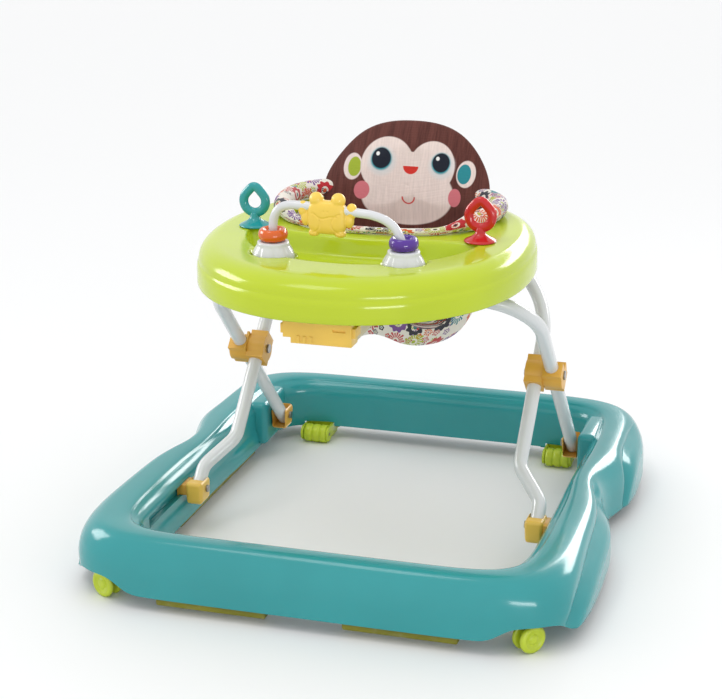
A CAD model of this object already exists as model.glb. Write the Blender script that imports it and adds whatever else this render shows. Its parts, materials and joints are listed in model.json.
"""Baby walker: the looks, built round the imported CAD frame.

Metres, +Z up, the walker's front towards -Y. Every piece rides on a CAD body, so it follows that body's
joints. Meshes are made in code, most of them as lofts, lathes and swept tubes, and hard plastic nodes are
copied from the frame with softened edges.
"""

import json
import math

import bmesh
import bpy
import numpy as np
from mathutils import Matrix, Vector


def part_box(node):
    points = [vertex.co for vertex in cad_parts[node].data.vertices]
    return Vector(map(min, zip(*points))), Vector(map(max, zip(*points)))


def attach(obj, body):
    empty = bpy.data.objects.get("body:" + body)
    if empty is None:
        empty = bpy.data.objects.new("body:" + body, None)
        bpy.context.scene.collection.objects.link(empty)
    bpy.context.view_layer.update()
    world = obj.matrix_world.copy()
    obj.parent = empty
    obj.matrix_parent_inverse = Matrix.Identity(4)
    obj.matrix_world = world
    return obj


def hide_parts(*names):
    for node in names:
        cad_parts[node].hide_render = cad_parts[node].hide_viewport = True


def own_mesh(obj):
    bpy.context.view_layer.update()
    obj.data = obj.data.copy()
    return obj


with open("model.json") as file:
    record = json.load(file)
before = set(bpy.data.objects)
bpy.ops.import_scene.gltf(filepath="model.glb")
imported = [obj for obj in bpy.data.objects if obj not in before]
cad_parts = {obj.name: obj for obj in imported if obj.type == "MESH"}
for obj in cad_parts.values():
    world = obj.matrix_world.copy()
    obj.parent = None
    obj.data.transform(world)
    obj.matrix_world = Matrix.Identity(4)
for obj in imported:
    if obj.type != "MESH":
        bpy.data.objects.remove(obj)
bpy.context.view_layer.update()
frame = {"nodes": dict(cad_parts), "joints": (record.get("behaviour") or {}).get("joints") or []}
nodes = frame["nodes"]

MM = 0.001
SIDES = (("left", -1), ("right", 1))


# ---------- camera, lights and floor ----------

LIT = (0, 0, 0.3)                 # the lights look at this point
LIGHTS = (                        # name, place, size, power, and whether it makes highlights only
    ("key", (-0.6, -0.9, 2.3), (0.8, 0.8), 7, False),
    ("left_box", (-2.0, -0.2, 1.1), (1.1, 0.8), 24, True),
    ("back_box", (0.85, 1.85, 1.1), (1.9, 0.55), 34, True),
    ("front_box", (1.2, -2.0, 0.40), (1.1, 0.22), 10, True),
)


def add_object(name, data):
    made = bpy.data.objects.new(name, data)
    bpy.context.scene.collection.objects.link(made)
    return made


def look_at(place, target):
    """A matrix that stands at a place with its -Z axis towards a target."""
    turn = (Vector(target) - Vector(place)).to_track_quat("-Z", "Y").to_matrix().to_4x4()
    return Matrix.Translation(place) @ turn


def add_camera():
    """The photograph's viewing angle: 17 degrees to the right of the front, 18 degrees up."""
    data = bpy.data.cameras.new("camera")
    data.lens = 93.44
    data.sensor_width = 36
    camera = add_object("camera", data)
    roll = Matrix.Rotation(math.radians(-0.28), 4, "Z")
    camera.matrix_world = look_at((0.6857, -2.3448, 1.0465), (-0.0264, -0.0142, 0.2604)) @ roll
    bpy.context.scene.camera = camera


def add_light(name, place, size, power, highlights_only):
    data = bpy.data.lights.new(name, "AREA")
    data.shape = "RECTANGLE"
    data.size, data.size_y = size
    data.energy = power
    light = add_object(name, data)
    light.matrix_world = look_at(place, LIT)
    light.visible_camera = False
    light.visible_diffuse = not highlights_only


def add_studio():
    bpy.context.scene.view_settings.view_transform = "Standard"
    world = bpy.data.worlds.new("studio")
    bpy.context.scene.world = world
    world.use_nodes = True
    back = world.node_tree.nodes["Background"]
    back.inputs["Color"].default_value = (1.0, 1.0, 1.0, 1)
    back.inputs["Strength"].default_value = 1.05
    for light in LIGHTS:
        add_light(*light)
    mesh = bpy.data.meshes.new("floor")
    mesh.from_pydata([(-9, -9, 0), (9, -9, 0), (9, 9, 0), (-9, 9, 0)], [], [(0, 1, 2, 3)])
    floor = add_object("floor", mesh)
    mesh.materials.append(Paint("floor", (0.90, 0.905, 0.91), rough=0.6, specular=0.2).material)


# ---------- materials ----------

class Paint:
    """A material with short calls for the shader nodes used here. Numbers and sockets can be mixed freely."""

    def __init__(self, name, color, rough=0.3, specular=0.5, coat=0.0, sheen=0.0, metallic=0.0):
        self.material = bpy.data.materials.new(name)
        self.material.use_nodes = True
        self.tree = self.material.node_tree
        self.shader = self.tree.nodes["Principled BSDF"]
        for key, value in (("Base Color", (*color, 1)), ("Roughness", rough), ("Metallic", metallic),
                           ("Specular IOR Level", specular), ("Coat Weight", coat), ("Coat Roughness", 0.06),
                           ("Sheen Weight", sheen)):
            self.shader.inputs[key].default_value = value
        self._where = None

    def put(self, socket, value):
        if hasattr(value, "links"):
            self.tree.links.new(value, socket)
        elif isinstance(value, tuple) and len(value) == 3 and socket.type == "RGBA":
            socket.default_value = (*value, 1)
        else:
            socket.default_value = value

    def node(self, kind, **settings):
        made = self.tree.nodes.new("ShaderNode" + kind)
        for key, value in settings.items():
            setattr(made, key, value)
        return made

    def where(self):
        """Position on the piece, in metres in the row frame at rest."""
        if self._where is None:
            self._where = self.node("TexCoord").outputs["Object"]
        return self._where

    def uv(self):
        return self.node("TexCoord").outputs["UV"]

    def split(self, vector):
        made = self.node("SeparateXYZ")
        self.put(made.inputs[0], vector)
        return made.outputs

    def join(self, x, y, z=0.0):
        made = self.node("CombineXYZ")
        for socket, value in zip(made.inputs, (x, y, z)):
            self.put(socket, value)
        return made.outputs[0]

    def math(self, operation, *values):
        made = self.node("Math", operation=operation)
        for socket, value in zip(made.inputs, values):
            self.put(socket, value)
        return made.outputs[0]

    def times(self, first, second):
        return self.math("MULTIPLY", first, second)

    def linear(self, value, gain, offset):
        return self.math("MULTIPLY_ADD", value, gain, offset)

    def above(self, value, limit):
        """1 where value is above limit, otherwise 0."""
        return self.math("GREATER_THAN", value, limit)

    def below(self, value, limit):
        return self.math("LESS_THAN", value, limit)

    def vector(self, operation, *values, scale=None):
        made = self.node("VectorMath", operation=operation)
        for socket, value in zip(made.inputs, values):
            self.put(socket, value)
        if scale is not None:
            self.put(made.inputs["Scale"], scale)
        return made.outputs["Value" if operation in ("LENGTH", "DISTANCE", "DOT_PRODUCT") else "Vector"]

    def ramp(self, value, low, high):
        """0 below low, 1 above high, smooth between; low may be above high."""
        made = self.node("MapRange", interpolation_type="SMOOTHSTEP")
        if low > high:
            low, high = high, low
            made.inputs["To Min"].default_value, made.inputs["To Max"].default_value = 1.0, 0.0
        self.put(made.inputs["Value"], value)
        made.inputs["From Min"].default_value = low
        made.inputs["From Max"].default_value = high
        return made.outputs[0]

    def mix(self, share, first, second):
        made = self.node("Mix", data_type="RGBA")
        self.put(made.inputs[0], share)
        self.put(made.inputs[6], first)
        self.put(made.inputs[7], second)
        return made.outputs[2]

    def noise(self, scale, detail=2.0, vector=None, stretch=None, rough=0.5):
        made = self.node("TexNoise")
        vector = self.where() if vector is None else vector
        if stretch is not None:
            vector = self.vector("MULTIPLY", vector, stretch)
        self.put(made.inputs["Vector"], vector)
        made.inputs["Scale"].default_value = scale
        made.inputs["Detail"].default_value = detail
        made.inputs["Roughness"].default_value = rough
        return made.outputs[0]

    def bump(self, height, distance, strength=1.0, base=None):
        made = self.node("Bump")
        made.inputs["Distance"].default_value = distance
        made.inputs["Strength"].default_value = strength
        self.put(made.inputs["Height"], height)
        if base is not None:
            self.put(made.inputs["Normal"], base)
        return made.outputs[0]

    def finish(self, color=None, rough=None, normal=None):
        for key, value in (("Base Color", color), ("Roughness", rough), ("Normal", normal)):
            if value is not None:
                self.put(self.shader.inputs[key], value)
        return self.material


def tint(color, gain):
    return tuple(min(1.0, value * gain) for value in color)


def clouded(paint, color, scale, detail, low, high, dark, light):
    """Large soft patches between a darker and a lighter tint of a colour."""
    return paint.mix(paint.ramp(paint.noise(scale, detail), low, high), tint(color, dark), tint(color, light))


def gloss_plastic(name, color, rough=0.16, coat=0.12):
    """Injection-moulded gloss: faint clouds in the colour, orange peel, and small scuffs in the gloss."""
    paint = Paint(name, color, rough, specular=0.38, coat=coat)
    colour = clouded(paint, color, 6.0, 3.0, 0.35, 0.7, 0.95, 1.04)
    scuff = paint.ramp(paint.noise(38.0, 6.0, stretch=(1, 1, 2.5), rough=0.65), 0.48, 0.75)
    gloss = paint.linear(scuff, 0.10, rough)
    peel = paint.bump(paint.noise(160.0, 1.0), 0.0004, 0.06)
    fine = paint.bump(paint.noise(1500.0, 1.0), 0.0001, 0.10, base=peel)
    return paint.finish(colour, gloss, fine)


def satin_plastic(name, color, rough=0.38, grain=0.25):
    """Moulded plastic with a fine spark-eroded grain and slightly worn, shinier patches."""
    paint = Paint(name, color, rough, coat=0.05)
    colour = clouded(paint, color, 14.0, 4.0, 0.3, 0.75, 0.92, 1.05)
    worn = paint.ramp(paint.noise(26.0, 5.0), 0.45, 0.72)
    gloss = paint.linear(worn, -0.10, rough + 0.04)
    return paint.finish(colour, gloss, paint.bump(paint.noise(2400.0, 2.0), 0.00012, grain))


def powder_coat(name, color):
    paint = Paint(name, color, 0.24, coat=0.35)
    colour = clouded(paint, color, 9.0, 2.0, 0.3, 0.7, 0.97, 1.02)
    gloss = paint.linear(paint.noise(30.0, 4.0), 0.12, 0.17)
    return paint.finish(colour, gloss, paint.bump(paint.noise(900.0, 2.0), 0.00015, 0.14))


def rubber(name, color):
    paint = Paint(name, color, 0.62, specular=0.35)
    colour = clouded(paint, color, 20.0, 4.0, 0.3, 0.75, 0.85, 1.12)
    dust = paint.ramp(paint.noise(60.0, 6.0), 0.5, 0.8)
    colour = paint.mix(paint.times(dust, 0.25), colour, (0.42, 0.42, 0.30))
    return paint.finish(colour, None, paint.bump(paint.noise(1600.0, 3.0), 0.0002, 0.4))


def steel(name):
    paint = Paint(name, (0.30, 0.29, 0.28), 0.34, metallic=1.0)
    streak = paint.noise(300.0, 4.0, stretch=(1, 14, 14))
    gloss = paint.linear(streak, 0.25, 0.18)
    return paint.finish(None, gloss, paint.bump(streak, 0.00006, 0.3))


def weave_bump(paint, vector, threads=1100.0, depth=0.00022):
    """Plain weave: crossed thread waves along all three axes, a little uneven."""
    waves = [paint.math("ABSOLUTE", paint.math("SINE", part))
             for part in paint.split(paint.vector("SCALE", vector, scale=threads))]
    height = paint.math("ADD", paint.math("ADD", waves[0], waves[1]), waves[2])
    slub = paint.noise(260.0, 3.0, vector=vector)
    return paint.bump(paint.linear(slub, 1.5, height), depth, 0.5)


PRINT_INKS = ((0.01, 0.21, 0.24), (0.48, 0.010, 0.020), (0.66, 0.10, 0.015), (0.015, 0.015, 0.03),
              (0.40, 0.46, 0.02), (0.50, 0.02, 0.03), (0.17, 0.06, 0.26))


def ink_of(paint, random_value):
    """One of the print's inks, picked by a number from 0 to 1."""
    made = paint.node("ValToRGB")
    made.color_ramp.interpolation = "CONSTANT"
    stops = made.color_ramp.elements
    while len(stops) < len(PRINT_INKS):
        stops.new(0.5)
    for index, ink in enumerate(PRINT_INKS):
        stops[index].position = index / len(PRINT_INKS)
        stops[index].color = (*ink, 1)
    paint.put(made.inputs[0], random_value)
    return made.outputs[0]


def flowers(paint, vector, cell, petals, ground, empty=0.0):
    """Flowers on the plane of vector, one in each cell of that size in metres: a dark eye, an open ring, and
    petals in one ink, some of them rayed like dandelion clocks. empty is the share of cells left bare."""
    made = paint.node("TexVoronoi", voronoi_dimensions="2D")
    made.inputs["Scale"].default_value = 1.0
    made.inputs["Randomness"].default_value = 0.55
    spot = paint.vector("SCALE", vector, scale=1.0 / cell)
    paint.put(made.inputs["Vector"], spot)
    local = paint.vector("SUBTRACT", spot, made.outputs["Position"])
    x, y, _ = paint.split(local)
    radius = paint.vector("LENGTH", paint.join(x, y))
    angle = paint.math("ARCTAN2", y, x)
    red, green, blue = paint.split(made.outputs["Color"])
    wave = paint.math("COSINE", paint.times(angle, float(petals)))
    edge = paint.linear(wave, 0.045, paint.linear(green, 0.10, 0.36))
    planted = paint.above(blue, empty)
    petal = paint.times(paint.below(radius, edge), planted)
    rays = paint.below(paint.math("COSINE", paint.times(angle, petals * 2.0)), -0.35)
    rayed = paint.times(paint.above(green, 0.5), rays)
    outer = paint.times(paint.above(radius, 0.20), rayed)
    petal = paint.times(petal, paint.math("SUBTRACT", 1.0, outer))
    colour = paint.mix(petal, ground, ink_of(paint, red))
    ring = paint.times(paint.below(radius, 0.18), paint.above(radius, 0.09))
    colour = paint.mix(paint.times(ring, planted), colour, ground)
    core = paint.times(paint.below(radius, 0.07), planted)
    return paint.mix(core, colour, ink_of(paint, green))


def floral_fabric(name, flat):
    """Cotton print of large flowers over small ones on off-white. flat makes its 2-D place in metres."""
    ground = (0.78, 0.73, 0.65)
    paint = Paint(name, ground, 0.85, specular=0.25, sheen=0.25)
    place = flat(paint)
    wobble = paint.noise(60.0, 2.0, vector=place)
    shifted = paint.vector("ADD", place, paint.join(paint.linear(wobble, 0.002, -0.001), 0.0))
    dots = flowers(paint, paint.vector("ADD", shifted, (0.013, 0.007, 0.0)), 0.0125, 5, ground, 0.42)
    large = flowers(paint, shifted, 0.034, 9, dots)
    fade = paint.ramp(paint.noise(18.0, 3.0), 0.3, 0.8)
    colour = paint.mix(paint.times(fade, 0.06), large, (0.75, 0.72, 0.66))
    return paint.finish(colour, None, weave_bump(paint, paint.where()))


add_camera()
add_studio()

PLASTIC = {name: kind(name, *look) for name, kind, *look in (
    ("base_teal", gloss_plastic, (0.030, 0.305, 0.320)),
    ("tray_lime", gloss_plastic, (0.50, 0.62, 0.020)),
    ("wheel_green", satin_plastic, (0.52, 0.64, 0.025), 0.34),
    ("strip_olive", rubber, (0.21, 0.20, 0.015)),
    ("amber_plastic", satin_plastic, (0.74, 0.40, 0.055), 0.36),
    ("handle_yellow", satin_plastic, (0.88, 0.56, 0.085), 0.34),
    ("rail_cream", satin_plastic, (0.70, 0.60, 0.42), 0.42),
    ("socket_white", satin_plastic, (0.80, 0.80, 0.80), 0.4),
    ("frame_white", powder_coat, (0.70, 0.72, 0.73)),
    ("toy_white", gloss_plastic, (0.68, 0.69, 0.71), 0.2, 0.3),
    ("bead_orange", gloss_plastic, (0.74, 0.125, 0.012), 0.14, 0.3),
    ("bead_purple", gloss_plastic, (0.085, 0.022, 0.30), 0.14, 0.3),
    ("frog_yellow", satin_plastic, (0.88, 0.60, 0.085), 0.36, 0.15),
    ("loop_teal", gloss_plastic, (0.015, 0.29, 0.31), 0.16, 0.3),
    ("loop_red", gloss_plastic, (0.56, 0.010, 0.012), 0.16, 0.3),
    ("steel", steel),
)}


# ---------- mesh helpers ----------

def make(name, verts, faces, body, slot, material=None, smooth=True, uvs=None):
    """A mesh object in the row frame that rides on a body. uvs, if given, has one pair for each vertex."""
    mesh = bpy.data.meshes.new(name)
    mesh.from_pydata([tuple(v) for v in verts], [], [tuple(f) for f in faces])
    mesh.validate()
    if uvs is not None:
        layer = mesh.uv_layers.new(name="flat")
        corners = np.empty(len(mesh.loops), int)
        mesh.loops.foreach_get("vertex_index", corners)
        layer.data.foreach_set("uv", np.asarray(uvs, np.float32)[corners].ravel())
    mesh.polygons.foreach_set("use_smooth", [smooth] * len(mesh.polygons))
    piece = add_object(name, mesh)
    mesh.materials.append(material or PLASTIC[slot])
    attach(piece, body)
    return piece


def apply_modifiers(piece):
    graph = bpy.context.evaluated_depsgraph_get()
    graph.update()
    mesh = bpy.data.meshes.new_from_object(piece.evaluated_get(graph), depsgraph=graph)
    old = piece.data
    piece.modifiers.clear()
    piece.data = mesh
    bpy.data.meshes.remove(old)


def repaint(piece, paint):
    piece.data.materials.clear()
    piece.data.materials.append(PLASTIC[paint])


def smooth_by_angle(piece, degrees):
    mesh = piece.data
    mesh.polygons.foreach_set("use_smooth", [True] * len(mesh.polygons))
    mesh.set_sharp_from_angle(angle=math.radians(degrees))


def in_metres(pairs):
    return [(a * MM, b * MM) for a, b in pairs]


def ring_faces(rows, columns, closed=False):
    """Quads between rows of points that each run round; closed also joins the last row to the first."""
    count = rows if closed else rows - 1
    return [(i * columns + j, i * columns + (j + 1) % columns,
             (i + 1) % rows * columns + (j + 1) % columns, (i + 1) % rows * columns + j)
            for i in range(count) for j in range(columns)]


def lathe(name, profile, place, axis, body, slot, sides, shape=None, closed=False):
    """Turned piece. profile has (radius, height) pairs along the axis; shape may change one by its angle."""
    turn = Vector((0, 0, 1)).rotation_difference(Vector(axis)).to_matrix()
    verts = []
    for radius, height in profile:
        for j in range(sides):
            angle = 2 * math.pi * j / sides
            r, h = (radius, height) if shape is None else shape(radius, height, angle)
            verts.append(Vector(place) + turn @ Vector((r * math.cos(angle), r * math.sin(angle), h)))
    faces = ring_faces(len(profile), sides, closed)
    if not closed:
        faces.append(tuple(reversed(range(sides))))
        last = (len(profile) - 1) * sides
        faces.append(tuple(last + j for j in range(sides)))
    return make(name, verts, faces, body, slot)


def sweep(name, path, radius, body, slot, sides, closed=False, squash=(1.0, 1.0)):
    """Round bar along a path of points, or an oval one where squash is given."""
    path = [Vector(p) for p in path]
    count = len(path)
    verts = []
    side = None
    for i, point in enumerate(path):
        before = path[i - 1] if i or closed else path[0]
        after = path[(i + 1) % count] if i < count - 1 or closed else path[-1]
        ahead = (after - before).normalized()
        if side is None:
            side = ahead.orthogonal().normalized() if abs(ahead.y) > 0.9 else ahead.cross(Vector((0, 1, 0)))
        side = (side - ahead * side.dot(ahead)).normalized()
        up = ahead.cross(side)
        for j in range(sides):
            angle = 2 * math.pi * j / sides
            verts.append(point + side * (radius * squash[0] * math.cos(angle))
                         + up * (radius * squash[1] * math.sin(angle)))
    faces = ring_faces(count, sides, closed)
    if not closed:
        faces.append(tuple(reversed(range(sides))))
        faces.append(tuple((count - 1) * sides + j for j in range(sides)))
    return make(name, verts, faces, body, slot)


def smooth_path(points, steps):
    """Smooth path through points (Catmull-Rom)."""
    points = [Vector(p) for p in points]
    ends = [points[0] * 2 - points[1]] + points + [points[-1] * 2 - points[-2]]
    found = []
    for a, b, c, d in zip(ends, ends[1:], ends[2:], ends[3:]):
        for k in range(steps):
            t = k / steps
            found.append(0.5 * (2 * b + (c - a) * t + (2 * a - 5 * b + 4 * c - d) * t ** 2
                                + (3 * b - a - 3 * c + d) * t ** 3))
    return found + [points[-1]]


def soften(node, width, body, slot, segments=3):
    """A copy of a hard plastic node with its edges rounded over, which stands for the node."""
    mesh = nodes[node].data.copy()
    shape = bmesh.new()
    shape.from_mesh(mesh)
    bmesh.ops.remove_doubles(shape, verts=shape.verts, dist=1e-6)
    bmesh.ops.dissolve_limit(shape, angle_limit=math.radians(1.5), verts=shape.verts, edges=shape.edges)
    shape.to_mesh(mesh)
    shape.free()
    piece = add_object(node + "_skin", mesh)
    repaint(piece, slot)
    bevel = piece.modifiers.new("bevel", "BEVEL")
    bevel.width = width
    bevel.segments = segments
    bevel.limit_method = "ANGLE"
    bevel.angle_limit = math.radians(40)
    bevel.harden_normals = False
    apply_modifiers(piece)
    smooth_by_angle(piece, 42)
    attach(piece, body)
    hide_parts(node)
    return piece


def object_of(name, shape):
    """Turns a bmesh into an object."""
    mesh = bpy.data.meshes.new(name)
    shape.to_mesh(mesh)
    shape.free()
    return add_object(name, mesh)


def box_shape(low, high):
    shape = bmesh.new()
    bmesh.ops.create_cube(shape, size=1.0)
    for vert in shape.verts:
        vert.co = Vector(a + (b - a) * (c + 0.5) for a, b, c in zip(low, high, vert.co))
    return shape


def side_box(k, x, y, z):
    """Low and high corners of a box on side k, from its spans along the axes. x is for the right side."""
    near, far = sorted((k * x[0], k * x[1]))
    return (near, y[0], z[0]), (far, y[1], z[1])


def rounded_box(name, low, high, radius, body, slot, segments):
    shape = box_shape(Vector(low), Vector(high))
    bmesh.ops.bevel(shape, geom=list(shape.edges), offset=radius, segments=segments, profile=0.5,
                    affect="EDGES")
    piece = object_of(name, shape)
    piece.data.materials.append(PLASTIC[slot])
    smooth_by_angle(piece, 50)
    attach(piece, body)
    return piece


def cut(piece, cutters, touching=False):
    """Takes closed cutter meshes out of a piece, and deletes the cutters. touching is for a piece whose own
    faces meet in places."""
    for cutter in cutters:
        step = piece.modifiers.new("cut", "BOOLEAN")
        step.operation = "DIFFERENCE"
        step.solver = "EXACT"
        step.use_self = touching
        step.object = cutter
    apply_modifiers(piece)
    for cutter in cutters:
        mesh = cutter.data
        bpy.data.objects.remove(cutter)
        bpy.data.meshes.remove(mesh)


def box_cutter(low, high):
    return object_of("cutter", box_shape(low, high))


def pipe_cutter(start, end, radius):
    start, end = Vector(start), Vector(end)
    shape = bmesh.new()
    bmesh.ops.create_cone(shape, cap_ends=True, segments=64, radius1=radius, radius2=radius, depth=1.0)
    turn = Vector((0, 0, 1)).rotation_difference(end - start).to_matrix()
    for vert in shape.verts:
        vert.co = (start + end) / 2 + turn @ Vector((vert.co.x, vert.co.y, vert.co.z * (end - start).length))
    return object_of("cutter", shape)


def flip_if_inside_out(piece):
    shape = bmesh.new()
    shape.from_mesh(piece.data)
    bmesh.ops.recalc_face_normals(shape, faces=shape.faces)
    shape.to_mesh(piece.data)
    shape.free()


def subdivide(piece):
    step = piece.modifiers.new("subdivide", "SUBSURF")
    step.levels = step.render_levels = 1
    apply_modifiers(piece)
    piece.data.polygons.foreach_set("use_smooth", [True] * len(piece.data.polygons))


# ---------- outlines shared with the frame ----------

def oval(t, a, b, n, c):
    """Points in metres of a superellipse round (0, c), given in millimetres."""
    co, si = np.cos(t), np.sin(t)
    x = a * np.sign(co) * np.abs(co) ** (2 / n)
    y = c + b * np.sign(si) * np.abs(si) ** (2 / n)
    return np.stack([x, y], -1) * MM


def polar_oval(t, a, b, n, c):
    """The same outline with t as the true angle round the middle."""
    r = ((np.abs(np.cos(t)) / a) ** n + (np.abs(np.sin(t)) / b) ** n) ** (-1 / n)
    return np.stack([r * np.cos(t), c + r * np.sin(t)], -1) * MM


SEAT_MIDDLE_Y = 0.028


def seat_edge(t, grow):
    """The seat opening's edge, grown by some millimetres, and wider at the back than at the front."""
    p = oval(t, 134 + grow, 96 + grow, 2.5, SEAT_MIDDLE_Y / MM)
    p[..., 0] *= 1 + 0.8 * (p[..., 1] - SEAT_MIDDLE_Y)
    return p


def smoothstep(low, high, value):
    share = np.clip((value - low) / (high - low), 0, 1)
    return share * share * (3 - 2 * share)


# ---------- base ----------

BASE_LOW, BASE_TOP = (corner.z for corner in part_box("base_ring"))
BASE_HEIGHT = BASE_TOP - BASE_LOW
BASE_HALF_WIDTH, BASE_HALF_LENGTH = 334, 358
BASE_OPENING = (257, 306, 9, 3)   # half width, half length, squareness and middle, in millimetres


def base_outer(t):
    p = polar_oval(t, BASE_HALF_WIDTH, BASE_HALF_LENGTH, 7.5, 0)
    waist = 27 / BASE_HALF_WIDTH * np.exp(-((p[:, 1] / MM - 28) / 72) ** 2)
    p[:, 0] *= 1 - 0.06 * p[:, 1] - waist
    return p


WAIST_FRONT, WAIST_BACK = 0.020, 0.106      # the waist between the fenders, along y
CREASE_LOW = 0.020                # height where the creases meet the bottom edge
FRONT_CREASE_RISE, REAR_CREASE_RISE = 0.058, 0.066
FRONT_CREASE_DEPTH, REAR_CREASE_DEPTH = 0.0105, 0.0090
CREASE_BELOW, CREASE_ABOVE = 0.017, 0.034   # how far a crease's dent reaches along the outer curve


def crease_height(y):
    """Height of the fenders' creases. The front one leaves the waist high and dives at the front corner; the
    rear one leaves the waist at the bottom edge and levels out under the crown."""
    ahead = np.clip((WAIST_FRONT - y) / 0.325, 0, 1)
    front = CREASE_LOW + FRONT_CREASE_RISE * (1 - ahead ** 3.4) ** 0.55
    behind = np.clip((y - WAIST_BACK) / 0.110, 0, 1)
    rear = CREASE_LOW + REAR_CREASE_RISE * (1 - (1 - behind) ** 3.5) ** 0.6
    along = np.clip((y - WAIST_FRONT) / (WAIST_BACK - WAIST_FRONT), 0, 1)
    between = CREASE_LOW + FRONT_CREASE_RISE * (1 - along)
    return np.where(y < WAIST_FRONT, front, np.where(y > WAIST_BACK, rear, between))


def crease_depth(y):
    front = smoothstep(0.024, 0.000, y) * smoothstep(-0.330, -0.285, y)
    rear = smoothstep(0.100, 0.120, y) * smoothstep(0.315, 0.225, y)
    return FRONT_CREASE_DEPTH * front + REAR_CREASE_DEPTH * rear


WALL_SHARE = 0.30                 # share of the outer curve that is upright wall, below the round shoulder
WALL_HEIGHT = 0.36                # share of the height that is upright wall
CURVE_LENGTH = 0.0905
KNEE = BASE_LOW + WALL_HEIGHT * BASE_HEIGHT


def outer_curve(q, foot):
    """Share of the way to the inner edge, and height, at q from 0 (bottom edge) to 1 (crown)."""
    a = np.pi / 2 * np.clip((q - WALL_SHARE) / (1 - WALL_SHARE), 0, 1)
    wall = foot + (KNEE - foot) * q / WALL_SHARE
    z = np.where(q < WALL_SHARE, wall, KNEE + (BASE_TOP - KNEE) * np.sin(a))
    return 0.40 * (1 - np.cos(a)), z


def crease_place(y):
    """The crease's place along the outer curve, from 0 to 1."""
    z = crease_height(y)
    lean = np.arcsin(np.clip((z - KNEE) / (BASE_TOP - KNEE), 0, 1)) / (np.pi / 2)
    wall = WALL_SHARE * (z - BASE_LOW) / (KNEE - BASE_LOW)
    return np.where(z < KNEE, wall, WALL_SHARE + (1 - WALL_SHARE) * lean)


def lifted_edge(points, corner, rise, reach, power):
    """Height of a lower edge that rises at the front corners, over the casters."""
    away = np.hypot(np.abs(points[:, 0]) - corner[0], points[:, 1] - corner[1])
    return BASE_LOW + rise * np.exp(-(away / reach) ** power)


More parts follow.
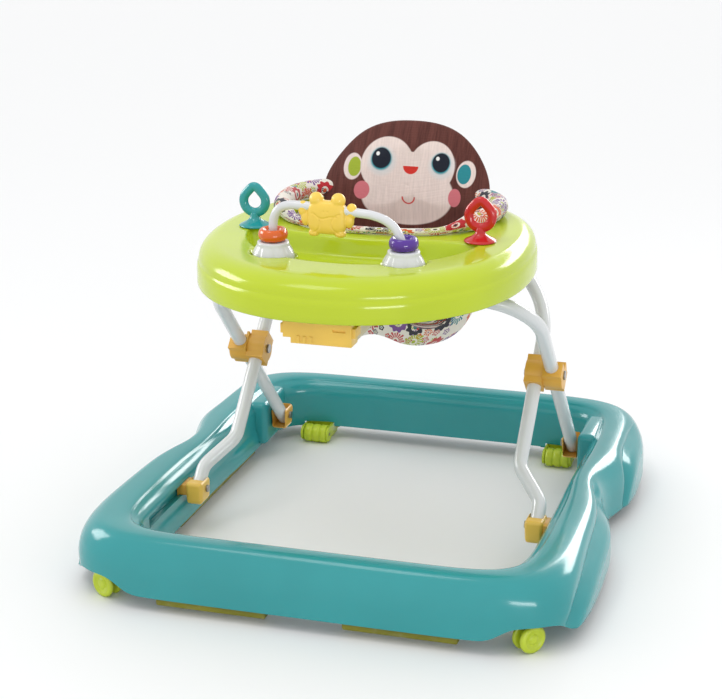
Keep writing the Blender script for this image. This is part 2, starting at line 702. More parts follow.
def make_base():
    n = 480                       # points round the ring
    t = np.linspace(0, 2 * np.pi, n, endpoint=False)
    outer, inner = base_outer(t), polar_oval(t, *BASE_OPENING)
    across = inner - outer
    along = np.roll(outer, -1, 0) - np.roll(outer, 1, 0)
    outward = np.stack([along[:, 1], -along[:, 0]], -1)
    outward /= np.linalg.norm(outward, axis=1, keepdims=True)
    side = (outward[:, 0] ** 4)[:, None]
    place = crease_place(outer[:, 1])
    depth = crease_depth(outer[:, 1]) * side[:, 0]
    foot = lifted_edge(outer, (0.290, -0.338), 0.0195, 0.048, 4)
    inner_foot = lifted_edge(inner, (0.262, -0.300), 0.024, 0.040, 2)
    verts = []

    def row(share, z, dent=0.0):
        """A row straight across the ring; past the inner edge it only reaches out at the sides."""
        reach = share if share <= 1 else 1 + (share - 1) * side
        p = outer + across * reach - outward * (depth * dent)[:, None]
        verts.append(np.column_stack([p, np.broadcast_to(z, n)]))

    def curve_row(q):
        """A row on the outer curve, dented towards the crease."""
        share, z = outer_curve(q, foot)
        gap = (q - place) * CURVE_LENGTH
        below = (1 - np.clip(-gap / CREASE_BELOW, 0, 1)) ** 1.3
        above = (1 - np.clip(gap / CREASE_ABOVE, 0, 1)) ** 1.7
        flare = smoothstep(0.004, 0.020, -gap) / 3
        dent = depth * (np.where(gap < 0, below, above) - flare)
        verts.append(np.column_stack([outer + across * share[:, None] - outward * dent[:, None], z]))

    edge_gap = place * CURVE_LENGTH
    edge_dent = (1 - np.clip(edge_gap / CREASE_BELOW, 0, 1)) ** 1.3 - smoothstep(0.004, 0.020, edge_gap) / 3
    for share, lift in ((0.050, 0), (0.044, 0.003), (0.030, 0), (0.018, -0.0008), (0.006, 0.002)):
        row(share, foot + lift, edge_dent)
    for share in (0.08, 0.22, 0.38, 0.54, 0.68, 0.79, 0.87, 0.93, 0.97, 0.99, 1.0):
        curve_row(place * share)
    for share in (0.010, 0.03, 0.06, 0.10, 0.15, 0.21, *np.arange(28, 101, 8) / 100):
        curve_row(place + (1 - place) * share)
    for share, drop in ((0.50, 0), (0.60, 0.1), (0.70, 0.8), (0.765, 2.0), (0.785, 3.0), (0.800, 4.8),
                        (0.83, 6.2), (0.88, 8.5), (0.93, 12.0), (0.965, 16.0), (0.985, 20.0), (1.0, 26.0)):
        row(share, BASE_TOP - drop * MM)
    for z in np.linspace(BASE_HEIGHT - 0.030, 0.030, 10):
        row(1.0, BASE_LOW + z)
    step_foot = inner_foot - BASE_LOW
    for share, z in ((1.004, 0.0262), (1.03, 0.0235), (1.07, 0.004), (1.07, 0.001), (1.055, 0.0),
                     (1.035, 0.001)):
        row(share, BASE_LOW + np.maximum(z, step_foot + z * (1 - step_foot / 0.030)))
    for share, z in ((0.985, 0.026), (0.955, 0.032)):
        row(share, BASE_LOW + np.maximum(z, step_foot + 0.003))
    for share, drop in ((0.955, 24), (0.90, 14), (0.78, 8), (0.60, 3), (0.42, 3)):
        row(share, BASE_TOP - drop * MM)
    for angle in (70, 45, 20, 0):
        a = math.radians(angle)
        z = BASE_LOW + BASE_HEIGHT * (WALL_HEIGHT + 0.57 * math.sin(a))
        row(0.070 + 0.36 * (1 - math.cos(a)), np.maximum(z, foot + 0.014 + angle * 0.0002),
            1.0 if angle < 60 else 0.6)
    row(0.075, foot + 0.010, edge_dent)
    verts = np.concatenate(verts)
    base = make("base_shell", verts, ring_faces(len(verts) // n, n, closed=True), "base", "base_teal")
    low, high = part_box("foot_left")
    slot_front, slot_back = low.y - 0.117, high.y
    pocket_low, pocket_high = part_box("rear_housing_right")
    pocket = (pocket_low.x - 0.001, pocket_high.x + 0.001)
    cutters = []
    for _, k in SIDES:
        for spans in (((0.249, 0.2645), (slot_front, slot_back), (0.0576, 0.0736)),
                      (pocket, (0.270, 0.3125), (0.0, 0.0268))):
            cutters.append(box_cutter(*side_box(k, *spans)))
    cut(base, cutters, touching=True)
    smooth_by_angle(base, 40)
    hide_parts("base_ring")
    track = (slot_front - 0.004, slot_back + 0.004)
    for side_name, k in SIDES:
        boss = side_box(k, (0.2395, 0.268), (0.186, 0.280), (0.024, 0.0915))
        rounded_box("bracket_boss_" + side_name, *boss, 0.009, "base", "base_teal", 8)
        for plate, x, z in (("back", (0.2655, 0.2680), (0.0545, 0.0765)),
                            ("roof", (0.2580, 0.2680), (0.0738, 0.0765)),
                            ("floor", (0.2580, 0.2680), (0.0545, 0.0572))):
            rounded_box(f"track_{plate}_{side_name}", *side_box(k, x, track, z), 0.0008, "base",
                        "base_teal", 2)


JOINT = {joint["name"]: joint for joint in frame["joints"]}


def make_wheels():
    for side, k in SIDES:
        roll = JOINT["caster_roll_" + side]
        centre, axle = Vector(roll["pos_m"]), Vector(roll["axis"]).normalized()
        low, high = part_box("caster_wheel_" + side)
        radius = (high.z - low.z) / 2
        half = 0.012              # half of a caster wheel's width
        rim = [(0.0032, 0.0043), (radius - 0.006, 0.0043), (radius - 0.0022, 0.0046),
               (radius - 0.0006, 0.0056), (radius, 0.0072), (radius, half - 0.0042),
               (radius - 0.0007, half - 0.0020),
               (radius - 0.0024, half - 0.0005), (radius - 0.0046, half), (radius - 0.0062, half - 0.0004),
               (radius - 0.0072, half - 0.0016), (0.0070, half - 0.0020), (0.0062, half - 0.0012),
               (0.0050, half - 0.0003), (0.0032, half)]
        for name, way in (("outer", 1), ("inner", -1)):
            disc = lathe(f"caster_disc_{side}_{name}", rim, centre, axle * way, "caster_wheel_" + side,
                         "wheel_green", 72)
            smooth_by_angle(disc, 50)
            if way == 1:
                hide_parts("caster_wheel_" + side)
        soften("caster_fork_" + side, 0.0008, "caster_" + side, "wheel_green", 2)
        low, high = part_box("rear_wheel_" + side)
        centre = (low + high) / 2
        radius = (high.z - low.z) / 2
        half = (high.x - low.x) / 2
        band = ((0.0, 0.0013), (0.05, 0.0005), (0.10, 0.0), (0.50, 0.0), (0.55, 0.0005), (0.58, 0.0013))
        profile = [(0.003, -half), (radius - 0.0035, -half)]
        for start in (-0.9, -0.22, 0.46):
            profile += [(radius - drop, half * (start + share)) for share, drop in band]
        profile += [(radius - 0.0035, half), (0.003, half)]
        roller = lathe("rear_roller_" + side, profile, centre, (1, 0, 0), "rear_wheel_" + side,
                       "wheel_green", 72)
        smooth_by_angle(roller, 40)
        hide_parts("rear_wheel_" + side)
        soften("rear_housing_" + side, 0.0012, "base", "wheel_green")
        repaint(nodes["caster_socket_" + side], "socket_white")


def make_strips():
    for node in ("front_strips", "side_strips"):
        soften(node, 0.0025, "base", "strip_olive")


# ---------- frames and hubs ----------

CUP_SIDE, CUP_BACK, CUP_FLOOR = 0.0029, 0.0032, 0.0033     # thicknesses of a cup
CUP_ROUNDING = 0.0062
FOOT_CUP_SPAN = (0.226, 0.2515)   # along x, on the right side
FOOT_GUIDES = (                   # in the base's slot: span along x, half height, rounding
    ("_runner", (0.2505, 0.2625), 0.0076, 0.0012),
    ("_plate", (0.2620, 0.2650), 0.011, 0.0010),
)
GUIDE_HALF_LENGTH = 0.015
SPRING_X = 0.022
PAST = 0.02                       # how far a cutter runs past what it opens


def make_filling(node, body, middle, half, front, top):
    """Fills a foot's cup in front of the tube, which only ever leans back from where it stands at rest."""
    _, y, z = JOINT["foot_turn_left"]["pos_m"]
    _, hub_y, hub_z = JOINT["scissor"]["pos_m"]
    lean = math.atan2(hub_z - z, hub_y - y)
    clear = 0.0099                # the tube's radius and a little play
    foot, slope = z + 0.0090, 1 / math.tan(lean)
    tube_front = y - clear / math.sin(lean)
    line = [(front, foot), *((tube_front + (height - z) * slope, height) for height in (foot, top)),
            (front, top)]
    count = len(line)
    verts = [(middle + way * half, py, pz) for way in (-1, 1) for py, pz in line]
    faces = [tuple(range(count))[::-1], tuple(range(count, 2 * count))]
    faces += [(j, (j + 1) % count, count + (j + 1) % count, count + j) for j in range(count)]
    filling = make(node + "_filling", verts, faces, body, "amber_plastic", smooth=False)
    repaint(filling, "handle_yellow")
    flip_if_inside_out(filling)


def make_cup(node, body, k, closed_side, taper):
    """Rounded cup round a tube's lower end, open at the top and on one side along Y, in place of its plain
    CAD channel. A foot also has a runner with an end plate, in the slot of the base."""
    low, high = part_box(node)
    is_foot = "foot" in node
    near, far = sorted(k * x for x in FOOT_CUP_SPAN) if is_foot else (low.x, high.x)
    cup = rounded_box(node + "_cup", (near, low.y, low.z), (far, high.y, high.z + 0.001), CUP_ROUNDING, body,
                      "amber_plastic", 6)
    middle = (near + far) / 2
    inside = (far - near) / 2 - CUP_SIDE
    if closed_side < 0:
        back, front = low.y + CUP_BACK, high.y + PAST
    else:
        back, front = low.y - PAST, high.y - CUP_BACK
    if is_foot:
        repaint(cup, "handle_yellow")
    hollow = (middle - inside, back, low.z + CUP_FLOOR), (middle + inside, front, high.z + PAST)
    cut(cup, [box_cutter(*hollow)])
    for vert in cup.data.vertices:
        share = (vert.co.z - low.z) / (high.z - low.z)
        if abs(vert.co.x - middle) > inside + 0.0004:
            narrow = taper + (1 - taper) * min(1.0, share * 1.6)
            reach = max(abs(vert.co.x - middle) * narrow, inside + 0.0009 if share > 0.22 else 0)
            vert.co.x = middle + math.copysign(reach, vert.co.x - middle)
    smooth_by_angle(cup, 40)
    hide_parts(node)
    if not is_foot:
        return
    make_filling(node, body, middle, inside + 0.0005, low.y + 0.0028, high.z - 0.0004)
    _, y, z = JOINT["foot_turn_left"]["pos_m"]
    for part, x, reach, radius in FOOT_GUIDES:
        corners = side_box(k, x, (y - GUIDE_HALF_LENGTH, y + GUIDE_HALF_LENGTH), (z - reach, z + reach))
        rounded_box(node + part, *corners, radius, body, "amber_plastic", 2)


def make_frames():
    for node in ("outer_frame", "inner_frame"):
        repaint(nodes[node], "frame_white")
        smooth_by_angle(nodes[node], 30)
    for side, k in SIDES:
        soften("hub_outer_" + side, 0.0026, "outer_frame", "amber_plastic", 4)
        soften("hub_inner_" + side, 0.0026, "inner_frame", "amber_plastic", 4)
        make_cup("leg_bracket_" + side, "base", k, 1, 0.76)
        make_cup("foot_" + side, "foot_" + side, k, -1, 0.90)
        for node in ("hub_pin_", "leg_pin_", "foot_pin_", "caster_axle_", "rear_axle_"):
            repaint(nodes[node + side], "steel")


def make_adjuster():
    soften("tray_hinge", 0.0016, "tray", "rail_cream")
    soften("height_rail", 0.0012, "tray", "rail_cream")
    soften("slide_block", 0.0012, "slide_block", "amber_plastic")
    repaint(soften("height_handle", 0.0012, "height_handle", "amber_plastic"), "handle_yellow")
    low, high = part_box("handle_spring")
    wire, coil_radius, turns, travel = 0.0009, 0.0040, 5, 0.0062
    length = high.z - low.z
    for side, k in SIDES:
        path = []
        for share in np.linspace(0, 1, turns * 20 + 1):
            angle = 2 * math.pi * turns * share
            path.append((k * SPRING_X + coil_radius * math.cos(angle),
                         (low.y + high.y) / 2 + coil_radius * math.sin(angle),
                         low.z + wire + (length - 2 * wire) * float(smoothstep(0.04, 0.96, share))))
        coil = sweep("return_spring_" + side, path, wire, "tray", "steel", 10)
        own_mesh(coil)
        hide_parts("handle_spring")


# ---------- tray ----------

TRAY_LOW, TRAY_TOP = (corner.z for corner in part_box("tray"))
TOY = {side: sum(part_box("bead_" + side), Vector()) / 2 for side, _ in SIDES}
LOOP = {side: sum(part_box("loop_" + side), Vector()) / 2 for side, _ in SIDES}


TRAY_OUTLINE = (217, 254, 2.15, -61)        # half width, half length, squareness and middle, in millimetres
BOWL_DEPTH = 0.0250
POD_RADIUS, WELL_RADIUS, WELL_FOOT = 0.0360, 0.0300, 0.0282     # round each cone


def soft_least(values, blend):
    """Smooth minimum of several distances."""
    return -blend * np.log(sum(np.exp(-value / blend) for value in values))


def quarter_round(share):
    """Rises from 0 to 1 along a quarter of a circle, steep at first."""
    return np.sqrt(np.clip(1 - (1 - np.clip(share, 0, 1)) ** 2, 0, 1))


def tray_height(x, y, edge, opening):
    """Height of the tray's top at (x, y), given the distances to its outer edge and to the seat opening."""
    z = TRAY_TOP - 0.022 + 0.022 * quarter_round((edge - 0.0035) / 0.034) ** 0.9
    z = z - 0.007 * (1 - quarter_round(opening / 0.010))
    within = (1 - ((np.abs(x) / 0.158) ** 2.2 + (np.abs(y + 0.054) / 0.172) ** 2.2) ** (1 / 2.2)) * 0.165
    seat = (np.abs(x) / 0.168) ** 2.5 + (np.abs(y - SEAT_MIDDLE_Y) / 0.130) ** 2.5
    off_seat = (seat ** (1 / 2.5) - 1) * 0.140
    inside = soft_least((within, off_seat, -0.088 - y), 0.004)
    sunk = z - BOWL_DEPTH * smoothstep(-0.0015, 0.0095, inside)
    for side, _ in SIDES:
        reach = np.hypot(x - TOY[side].x, y - TOY[side].y)
        pod = smoothstep(POD_RADIUS, WELL_RADIUS, reach)
        sunk = np.maximum(sunk, sunk + (TRAY_TOP - 0.0045 - sunk) * pod)
        sunk = sunk + (TRAY_TOP - 0.0078 - sunk) * smoothstep(WELL_RADIUS, WELL_FOOT, reach)
    return sunk


def make_tray():
    n = 432
    t = np.linspace(0, 2 * np.pi, n, endpoint=False)
    outer, inner = oval(t, *TRAY_OUTLINE), seat_edge(t, 0)
    across = inner - outer
    width = np.linalg.norm(across, axis=1)[:, None]
    ahead = across / width
    low, top = TRAY_LOW, TRAY_TOP
    verts = []

    def row(distance, z, start=outer):
        verts.append(np.column_stack([start + ahead * distance, np.full(n, z)]))

    def shaped(distance, drop=0.0):
        """A row on the tray's top, or below it by drop."""
        p = outer + ahead * distance
        edge = np.broadcast_to(distance, (n, 1))[:, 0]
        z = tray_height(p[:, 0], p[:, 1], edge, width[:, 0] - edge)
        verts.append(np.column_stack([p, z - drop]))

    for distance, z in in_metres(((3, 1), (2.4, 0), (0.8, 0.4), (0, 2.2), (0, 10), (0, 20), (0.6, 25),
                                  (1.8, 28.3), (3, 29.6), (3.2, 30))):
        row(distance, low + z)
    for distance in (3.6, 4, 4.7, 5.7, 7.2, 9.2, 11.8, 15, 19, 23.5, 28.5, 34):
        shaped(distance * MM)
    start, stop = 0.038, 0.010
    for share in np.linspace(0, 1, 104):
        shaped(start + (width - start - stop) * share)
    for left in (7.5, 5.2, 3.4, 2, 1, 0.3, 0):
        shaped(width - left * MM)
    for distance, drop in in_metres(((0, 14), (0, 33.5), (-1, 34), (-3, 34), (-3, 16))):
        row(distance, top - drop, inner)
    for share in np.linspace(1, 0, 60):
        shaped(start + (width - start - stop) * share, 0.003)
    for distance, z in ((0.0200, top - 0.0068), (0.0120, top - 0.0120), (0.0080, top - 0.0170),
                        (0.0055, low + 0.0270), (0.0032, low + 0.020)):
        row(distance, z)
    verts = np.concatenate(verts)
    tray = make("tray_shell", verts, ring_faces(len(verts) // n, n, closed=True), "tray", "tray_lime")
    smooth_by_angle(tray, 60)
    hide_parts("tray")


# ---------- toys ----------

def make_arch():
    y = TOY["left"].y
    left, right = TOY["left"].x, TOY["right"].x
    points = [(left, 0.447), (left, 0.470), (left + 0.002, 0.486), (left + 0.009, 0.4975),
              (left + 0.021, 0.5025), (left + 0.035, 0.5032), (-0.020, 0.5020), (0.025, 0.4985),
              (right - 0.040, 0.4965), (right - 0.023, 0.4910), (right - 0.011, 0.4815),
              (right - 0.004, 0.4690), (right, 0.456), (right, 0.447)]
    arch = sweep("arch_bar", smooth_path([(x, y, z) for x, z in points], 8), 0.0056, "tray", "toy_white", 28)
    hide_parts("toy_arch")


def make_cones_and_beads():
    for side, _ in SIDES:
        x, y, middle = TOY[side]

        def petals(radius, height, angle):
            lobe = abs(math.cos(4 * angle))
            share = max(0.0, min(1.0, (0.456 - height) / 0.022))      # 1 at the cone's foot
            return radius * (1 + 0.055 * (lobe - 0.5) * (0.4 + share)), height

        profile = [(24, 433.4), (26.2, 434.2), (26.8, 436.2), (26.4, 439), (25.2, 442.5),
                   (23.2, 446.2), (21.2, 449.4), (20.4, 451.2), (20.4, 453), (19.8, 454.6),
                   (18.4, 455.4), (13, 455.6), (10, 454), (6, 453.8)]
        cone = lathe("petal_cone_" + side, in_metres(profile), (x, y, 0), (0, 0, 1), "tray", "toy_white",
                     128, petals)
        smooth_by_angle(cone, 55)
        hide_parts("toy_cone_" + side)
        ring = [(6.1, -5.5), (8.0, -7.4), (11.0, -8.1), (14.5, -7.9), (17.2, -6.2), (18.6, -3.2), (18.9, 0.2),
                (18.2, 3.6), (16.8, 6.3), (15.0, 7.7), (13.2, 7.6), (11.6, 6.2), (10.3, 3.8), (8.6, 1.8),
                (6.8, 0.8), (6.1, 0.0)]
        slot = "bead_orange" if side == "left" else "bead_purple"
        bead = lathe("ring_" + side, in_metres(ring), (x, y, middle), (0, 0, 1),
                     "bead_" + side, slot, 72, closed=True)
        subdivide(bead)
        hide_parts("bead_" + side)


def make_frog():
    low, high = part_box("frog")
    x0, y0 = (low.x + high.x) / 2, TOY["left"].y
    lumps = [((0, 0, 490.5), (25.0, 9.5, 21.0), 0.55)]
    for k in (-1, 1):
        lumps += [((k * 14.2, 0, 512.5), (9.2, 8.5, 9.2), 1.0), ((k * 31.5, 0, 500), (6.6, 5.5, 9.5), 0.8),
                  ((k * 28.5, 0, 488), (6.0, 5.5, 10.0), 1.0), ((k * 17, -1, 470.5), (7.0, 7.0, 4.6), 0.8)]
    shape = bmesh.new()
    for centre, radii, square in lumps:
        made = bmesh.ops.create_uvsphere(shape, u_segments=28, v_segments=20, radius=1.0)
        for vert in made["verts"]:
            vert.co = Vector(math.copysign(abs(c) ** square, c) for c in vert.co)
            vert.co = Vector((x0 + (centre[0] + vert.co.x * radii[0]) * MM,
                              y0 + (centre[1] + vert.co.y * radii[1]) * MM,
                              (centre[2] + vert.co.z * radii[2]) * MM))
    frog = object_of("frog_figure", shape)
    remesh = frog.modifiers.new("remesh", "REMESH")
    remesh.mode = "VOXEL"
    remesh.voxel_size = 0.0009
    soft = frog.modifiers.new("soft", "SMOOTH")
    soft.iterations = 6
    soft.factor = 0.5
    apply_modifiers(frog)
    mesh = frog.data
    co = np.array([v.co for v in mesh.vertices])
    normal = np.array([v.normal for v in mesh.vertices])
    x, z = (co[:, 0] - x0) / MM, co[:, 2] / MM
    facing = smoothstep(0.2, 0.7, np.abs(normal[:, 1]))
    smile = 491.0 + 0.014 * x ** 2 + 1.2 * np.sin(x * 0.28)
    groove = np.exp(-((z - smile) / 0.9) ** 2) * (np.abs(x) < 15)
    for k in (-1, 1):
        leg = 0.8 * np.exp(-((np.hypot(x - k * 20, z - 484) - 12.5) / 0.8) ** 2) * (x * k < 19)
        foot = 0.8 * np.exp(-((x - k * 19.5) / 0.8) ** 2) * (z < 473.5)
        nostril = 0.9 * np.exp(-np.hypot(x - k * 2.5, z - 499) ** 2)
        groove = np.maximum.reduce([groove, leg, foot, nostril])
    co -= normal * (groove * facing * 0.0009)[:, None]
    mesh.vertices.foreach_set("co", co.astype(np.float32).ravel())
    mesh.polygons.foreach_set("use_smooth", [True] * len(mesh.polygons))
    repaint(frog, "frog_yellow")
    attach(frog, "frog")
    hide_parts("frog")


def make_loops():
    for side, _ in SIDES:
        x, y, _ = LOOP[side]
        centre = 0.4745           # height of the loop's middle
        slot = "loop_teal" if side == "left" else "loop_red"
        path = []
        for k in range(96):
            angle = 2 * math.pi * k / 96
            away = (angle - math.pi / 2 + math.pi) % (2 * math.pi) - math.pi
            reach = 0.0152 + 0.0042 * math.exp(-(away / 0.42) ** 2)
            path.append((x + reach * math.cos(angle), y, centre + reach * math.sin(angle)))
        ring = sweep("teardrop_" + side, path, 0.0062, "loop_" + side, slot, 24, closed=True,
                     squash=(1.0, 0.72))
        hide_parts("loop_" + side)
        profile = [(19, 441.2), (20.6, 441.6), (21, 442.6), (20, 443.8), (17.2, 445.2),
                   (13.5, 447), (10, 449.2), (7.4, 451.6), (6.2, 454.2), (6, 458),
                   (5, 460)]
        lathe("saucer_" + side, in_metres(profile), (x, y, 0), (0, 0, 1), "loop_" + side, slot, 72)


# ---------- seat ----------

CLOTH_FRAMES = 20
CLOTH_STIFFNESS = 15.0
CLOTH_PRESSURE = 3.0


def inflate(piece, cap):
    """Cloth simulation: blows the piece up a little, so that it fills and wrinkles, at most by cap."""
    mesh = piece.data
    before = np.array([v.co for v in mesh.vertices])
    step = piece.modifiers.new("cloth", "CLOTH")
    settings = step.settings
    settings.quality = 6
    settings.mass = 0.25
    settings.tension_stiffness = settings.compression_stiffness = CLOTH_STIFFNESS
    settings.shear_stiffness = CLOTH_STIFFNESS * 0.4
    settings.bending_stiffness = 0.3
    settings.use_pressure = True
    settings.uniform_pressure_force = CLOTH_PRESSURE
    settings.effector_weights.gravity = 0
    step.collision_settings.use_collision = False
    scene = bpy.context.scene
    for number in range(1, CLOTH_FRAMES + 1):
        scene.frame_set(number)
    graph = bpy.context.evaluated_depsgraph_get()
    after = np.array([v.co for v in piece.evaluated_get(graph).data.vertices])
    piece.modifiers.remove(step)
    scene.frame_set(1)
    move = after - before
    length = np.linalg.norm(move, axis=1, keepdims=True)
    move *= np.minimum(1.0, cap / np.maximum(length, 1e-9))
    mesh.vertices.foreach_set("co", (before + move).astype(np.float32).ravel())
    mesh.update()


def make_roll():
    """Padded roll round the seat opening: thin over the front collar, thick at the sides and back."""
    n, m = 260, 22
    t = np.linspace(0, 2 * np.pi, n, endpoint=False)
    verts, uvs = [], []
    centre = seat_edge(t, 12.5)
    walk = np.concatenate([[0], np.cumsum(np.linalg.norm(np.roll(centre, -1, 0) - centre, axis=1))])[:-1]
    front = smoothstep(-0.02, -0.065, centre[:, 1])
    radius = 0.0125 - 0.0078 * front
    pucker = 0.0009 * np.sin(walk / 0.0155) + 0.0006 * np.sin(walk / 0.0083 + 1.3)
    edge = seat_edge(t, 0)
    ahead = seat_edge(t, 20) - edge
    ahead /= np.linalg.norm(ahead, axis=1, keepdims=True)
    for k in range(m):
        angle = 2 * np.pi * k / m
        r = radius * (1 + pucker * max(0.0, math.cos(angle + 0.9)) / radius)
        p = edge + ahead * (0.0118 + r * math.cos(angle))[:, None]
        z = TRAY_TOP + 0.0008 + radius + r * math.sin(angle) * 0.98
        verts.append(np.column_stack([p, z]))
        uvs.append(np.column_stack([walk, np.full(n, angle * 0.012)]))
    roll = make("seat_roll", np.concatenate(verts), ring_faces(m, n, closed=True), "tray", "seat_print",
                FABRIC["seat_print"], uvs=np.concatenate(uvs))
    flip_if_inside_out(roll)
    inflate(roll, 0.003)
    subdivide(roll)
    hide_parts("seat_rim")


PANEL_LEAN = math.radians(17)
PANEL_FOOT = Vector((0.003, 0.1175, TRAY_TOP))
PANEL_MIDDLE = 0.020


def panel_point(x, v, depth):
    """Point of the back panel: x across, v up its slope from the tray's top, depth towards the front."""
    wrap = 1.75 - 1.15 * smoothstep(-0.01, 0.09, v)
    y = PANEL_FOOT.y + v * math.sin(PANEL_LEAN) - wrap * x * x
    z = PANEL_FOOT.z + v * math.cos(PANEL_LEAN)
    return PANEL_FOOT.x + x, y - depth * math.cos(PANEL_LEAN), z + depth * math.sin(PANEL_LEAN) * 0.4


def make_panel():
    rings, sides = 22, 120
    thick = 0.0062                # half the thickness at the middle
    half_up, half_down = 0.0955, 0.072
    t = np.linspace(0, 2 * np.pi, sides, endpoint=False)
    co, si = np.cos(t), np.sin(t)
    v_edge = np.where(si > 0, half_up, half_down) * np.sign(si) * np.abs(si) ** (2 / 2.3)
    x_edge = 0.1215 * np.sign(co) * np.abs(co) ** (2 / 2.3)
    shoulder = smoothstep(0.0, 0.075, v_edge)
    x_edge = x_edge * (1 - 0.10 * shoulder * np.abs(co) ** 0.5)
    verts = []
    for face in (1, -1):
        for k in range(rings):
            share = (k + 0.5) / rings if face > 0 else (rings - k - 0.5) / rings
            x, v = x_edge * share, PANEL_MIDDLE + v_edge * share
            swell = thick * np.sqrt(np.clip(1 - share ** 4, 0, 1))
            puff = 0.0012 * np.sin(x / 0.021 + 1.0) * np.cos(v / 0.027) * (1 - share ** 2)
            px, py, pz = panel_point(x, v, face * (swell + puff * (face > 0)))
            verts.append(np.column_stack([px, py, pz]))
    verts = np.concatenate(verts)
    faces = ring_faces(2 * rings, sides)
    first, last = tuple(range(sides)), tuple((2 * rings - 1) * sides + j for j in range(sides))
    centre_front, centre_back = len(verts), len(verts) + 1
    middle = [panel_point(0.0, PANEL_MIDDLE, way * thick) for way in (1, -1)]
    verts = np.concatenate([verts, np.array(middle, float)])
    faces += [(first[(j + 1) % sides], first[j], centre_front) for j in range(sides)]
    faces += [(last[j], last[(j + 1) % sides], centre_back) for j in range(sides)]
    panel = make("back_cushion", verts, faces, "tray", "back_print", FABRIC["back_print"])
    flip_if_inside_out(panel)
    inflate(panel, 0.005)
    subdivide(panel)
    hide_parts("seat_back")


def make_sling():
    """Sling: a sewn tub that hangs inside the opening, with two leg openings at the front."""
    n, thick = 180, 0.0022        # points round the tub, and the cloth's thickness
    t = np.linspace(0, 2 * np.pi, n, endpoint=False)
    levels = np.linspace(0, 1, 26)
    centre = np.array([0.0, SEAT_MIDDLE_Y])
    top, bottom = TRAY_TOP - 0.006, 0.2735

    def layer(q, inset):
        """A row of the wall, with q from 0 (top) to 1 (bottom)."""
        p = centre + (seat_edge(t, -4) - centre) * (1 - 0.42 * q ** 2.2)
        length = np.linalg.norm(p - centre, axis=1, keepdims=True)
        p = centre + (p - centre) * (1 - inset / length)
        z = top - (top - bottom) * math.sin(math.pi / 2 * q)
        fold = 0.0022 * np.sin(t * 17 + 3 * q) * math.sin(math.pi * min(1, q * 1.2)) * (1 + np.sin(t * 5))
        p = p * (1 + fold[:, None] * 3)
        return np.column_stack([p, np.full(n, z) + sag(p, q)])

    def sag(p, q):
        return 0.022 * q ** 3 * np.exp(-(p[:, 0] / 0.030) ** 2)

    def floor_rows(inset):
        rows = []
        rim = layer(1.0, inset)[:, :2]
        for share in np.linspace(0.86, 0.0, 7)[:-1]:
            p = centre + (rim - centre) * share
            rows.append(np.column_stack([p, bottom + sag(p, 1.0) - 0.003 * (1 - share ** 2) + inset]))
        return rows

    outside = [layer(q, 0.0) for q in levels] + floor_rows(0.0)
    inside = [layer(q, thick) + np.array([0, 0, thick if q > 0.8 else 0.0]) for q in levels]
    inside += floor_rows(thick)
    verts = np.concatenate(outside + inside[::-1])
    rows = len(outside)
    faces = ring_faces(2 * rows, n, closed=True)
    last_outside, first_inside = range((rows - 1) * n, rows * n), range(rows * n, (rows + 1) * n)
    joined = {*last_outside, *first_inside}
    faces = [f for f in faces if not all(i in joined for i in f)]
    faces += [tuple(last_outside), tuple(reversed(first_inside))]
    sling = make("seat_fabric", verts, faces, "tray", "seat_print", FABRIC["sling_print"])
    flip_if_inside_out(sling)
    leg_length, leg_radius = 0.14, 0.036
    cutters = []
    for _, k in SIDES:
        start = Vector((k * 0.058, 0.0, 0.340))
        ahead = Vector((k * 0.407, -0.914, 0.0))
        cutters.append(pipe_cutter(start, start + ahead * leg_length, leg_radius))
    cut(sling, cutters)
    smooth_by_angle(sling, 60)
    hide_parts("seat_sling")
    return sling


SLING_GIRTH_RADIUS = 0.105


def sling_plane(paint):
    """Unrolls the sling: angle round it times its girth, and height."""
    x, y, z = paint.split(paint.where())
    angle = paint.math("ARCTAN2", paint.math("ADD", y, -SEAT_MIDDLE_Y), x)
    return paint.join(paint.times(angle, SLING_GIRTH_RADIUS), z)


def ellipse(paint, u, v, centre, radii, soft=0.03):
    """1 inside an ellipse on the panel and 0 outside, and the place up or down it. Sizes in millimetres."""
    a = paint.math("DIVIDE", paint.math("SUBTRACT", u, centre[0] * MM), radii[0] * MM)
    b = paint.math("DIVIDE", paint.math("SUBTRACT", v, centre[1] * MM), radii[1] * MM)
    reach = paint.vector("LENGTH", paint.join(a, b))
    return paint.ramp(reach, 1.0 + soft, 1.0 - soft), b


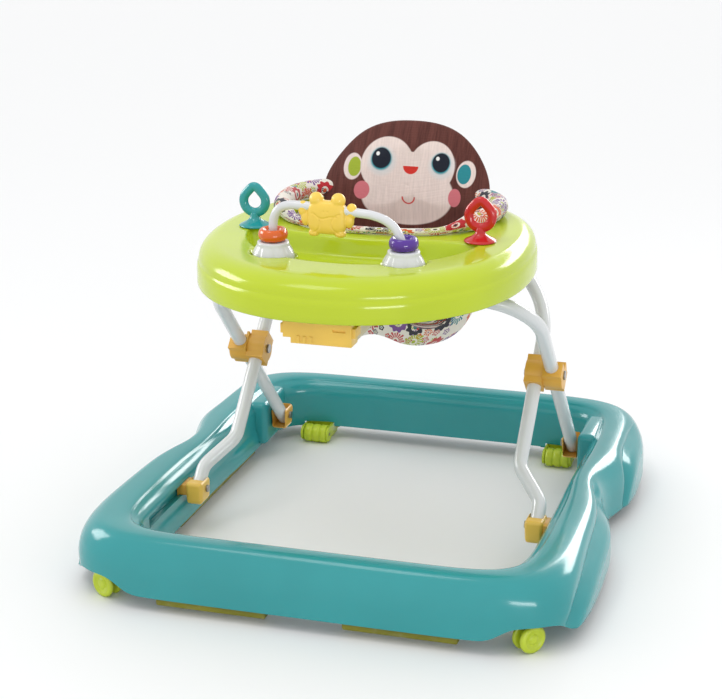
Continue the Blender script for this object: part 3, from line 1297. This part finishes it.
def face_fabric(name):
    """Printed animal face on brown: heart-topped cream mask, round eyes, small nose, smile, cheeks, ears."""
    brown, cream = (0.105, 0.026, 0.020), (0.78, 0.655, 0.615)
    paint = Paint(name, brown, 0.82, specular=0.25, sheen=0.15)
    u, _, v = paint.split(paint.where())
    strands = paint.noise(420.0, 3.0, stretch=(1.0, 0.12, 0.07), rough=0.6)
    coarse = paint.noise(120.0, 2.0, stretch=(1.0, 0.1, 0.06))
    streak = paint.linear(coarse, 0.5, paint.times(strands, 0.6))
    hair = paint.mix(paint.ramp(streak, 0.38, 0.72), (0.082, 0.021, 0.016), (0.135, 0.040, 0.031))
    linen = paint.mix(paint.ramp(strands, 0.3, 0.7), tint(cream, 0.93), tint(cream, 1.05))

    def layer(colour, ink, centre, radii, soft=0.03):
        mask, _ = ellipse(paint, u, v, centre, radii, soft)
        return paint.mix(mask, colour, ink)

    colour = hair
    for x, z, inner in ((-77, 485, (0.33, 0.42, 0.03)), (86, 483, (0.02, 0.24, 0.28))):
        k = 1 if x < 0 else -1
        colour = layer(colour, linen, (x, z), (13.5, 17), 0.05)
        colour = layer(colour, inner, (x + k * 2.5, z), (9.5, 12.5), 0.05)
    for centre, radii in (((-28, 490), (38, 36)), ((36, 489), (33, 34)), ((5, 452), (66, 43)),
                          ((5, 478), (52, 30))):
        colour = layer(colour, linen, centre, radii, 0.025)
    for x, z in ((-61, 455), (73, 452)):
        colour = layer(colour, (0.62, 0.17, 0.20), (x, z), (11 if x < 0 else 9, 12), 0.05)
    for x, z, r in ((-37, 498, 13.6), (49, 496, 12.4)):
        colour = layer(colour, (0.68, 0.66, 0.66), (x + 1, z - 4), (r * 1.45, r * 1.35), 0.25)
        colour = layer(colour, (0.03, 0.30, 0.36), (x, z - 1), (r * 1.1, r * 1.1), 0.14)
        colour = layer(colour, (0.006, 0.010, 0.022), (x, z), (r, r), 0.07)
        colour = layer(colour, (0.85, 0.85, 0.85), (x - r * 0.4, z + r * 0.42), (2.6, 2.6), 0.2)
    nose, height = ellipse(paint, u, v, (6, 489), (11, 10.5), 0.05)
    nose = paint.times(nose, paint.below(height, 0.0))
    colour = paint.mix(nose, colour, (0.62, 0.030, 0.020))
    outer, height = ellipse(paint, u, v, (6, 448), (9.6, 10), 0.06)
    inner, _ = ellipse(paint, u, v, (6, 448), (7.6, 8), 0.08)
    smile = paint.times(paint.math("SUBTRACT", outer, inner), paint.below(height, 0.05))
    colour = paint.mix(smile, colour, (0.60, 0.05, 0.05))
    _, facing, _ = paint.split(paint.node("TexCoord").outputs["Normal"])
    colour = paint.mix(paint.below(facing, 0.05), hair, colour)
    return paint.finish(colour, None, weave_bump(paint, paint.where(), 1500.0, 0.00018))


FABRIC = {
    "seat_print": floral_fabric("seat_print", Paint.uv),
    "sling_print": floral_fabric("sling_print", sling_plane),
    "back_print": face_fabric("back_print"),
}

for build in (make_base, make_wheels, make_strips, make_frames, make_adjuster, make_tray, make_arch,
              make_cones_and_beads, make_frog, make_loops, make_roll, make_panel):
    build()
sling = make_sling()
